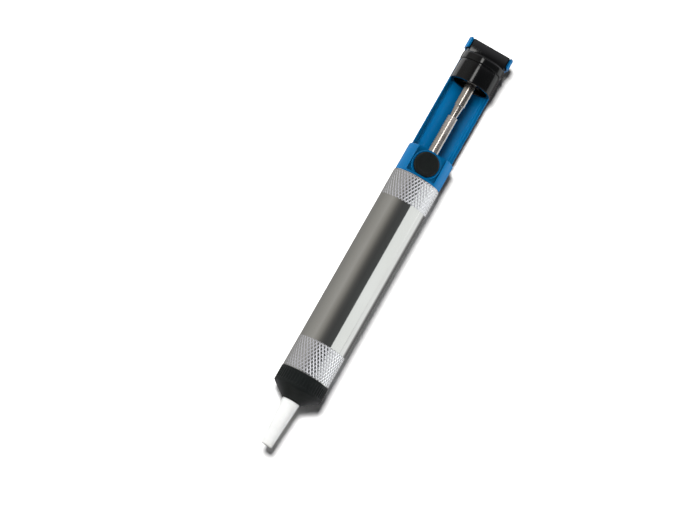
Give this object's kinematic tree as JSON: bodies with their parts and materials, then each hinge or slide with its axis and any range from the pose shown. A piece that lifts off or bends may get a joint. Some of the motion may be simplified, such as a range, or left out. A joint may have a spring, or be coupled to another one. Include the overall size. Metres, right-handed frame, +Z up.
{
  "type": "desoldering pump",
  "caption": "Hand-held spring-driven solder sucker: knurled metal tube with a screw-on nose and nozzle, blue rear housing with release button and open guard, rod and push knob.",
  "frame": {"origin": "under the middle of the pump's length, on the plane that it lies on", "axes": "+X along the pump's axis from the nozzle towards the push knob, +Z up through the release button"},
  "size_m": [0.1894, 0.0214, 0.0214],
  "materials": {
    "tube": "polished, with two diamond-knurled grip bands",
    "cap": "moulded black nylon, satin",
    "nozzle": "white heat-resistant plastic, satin",
    "seal": "smooth black rubber",
    "brass": "turned",
    "spring": "drawn spring wire",
    "steel": "zinc-plated",
    "rod": "nickel-plated, bright",
    "piston": "machined natural plastic",
    "felt": "oiled felt",
    "housing": "moulded blue plastic, glossy",
    "button": "black, matt",
    "knob": "moulded black plastic, glossy"
  },
  "bodies": {
    "barrel_body": {"barrel": "tube", "main_spring": "spring", "bumper_washer": "seal", "guide_bush": "brass", "rod_wiper": "felt", "rear_housing": "housing", "button_spring": "spring"},
    "front_seat": {"spring_seat": "brass"},
    "nose": {"nose_cap": "cap", "nozzle_tip": "nozzle", "nozzle_seal": "seal", "nose_seal": "seal"},
    "plunger": {"piston_rod": "rod", "piston": "piston", "piston_seal": "seal", "piston_nut": "steel", "piston_washer": "steel", "cleaning_pin": "steel", "knob": "knob", "knob_screw": "steel", "knob_plug": "knob"},
    "button": {"release_button": "button", "latch_plate": "steel"}
  },
  "joints": [
    {"name": "plunger_slide", "type": "slide", "parent": "barrel_body", "child": "plunger", "axis": [-1, 0, 0], "range_m": [0, 0.0275], "stiffness_N_per_m": 600, "springref_m": -0.03, "deforming": ["main_spring"]},
    {"name": "button_press", "type": "slide", "parent": "barrel_body", "child": "button", "axis": [0, 0, -1], "range_m": [0, 0.0015], "stiffness_N_per_m": 800, "springref_m": -0.002, "deforming": ["button_spring"]},
    {"name": "nose_advance", "type": "slide", "parent": "barrel_body", "child": "front_seat", "axis": [-1, 0, 0], "range_m": [0, 0.003]},
    {"name": "nose_unscrew", "type": "hinge", "parent": "front_seat", "child": "nose", "pos_m": [-0.0627, 0, 0.0107], "axis": [-1, 0, 0], "range_deg": [0, 1080.5]}
  ],
  "couplings": [
    {"joint": "nose_unscrew", "follows": "nose_advance", "rad_per_m": 6283.2}
  ]
}
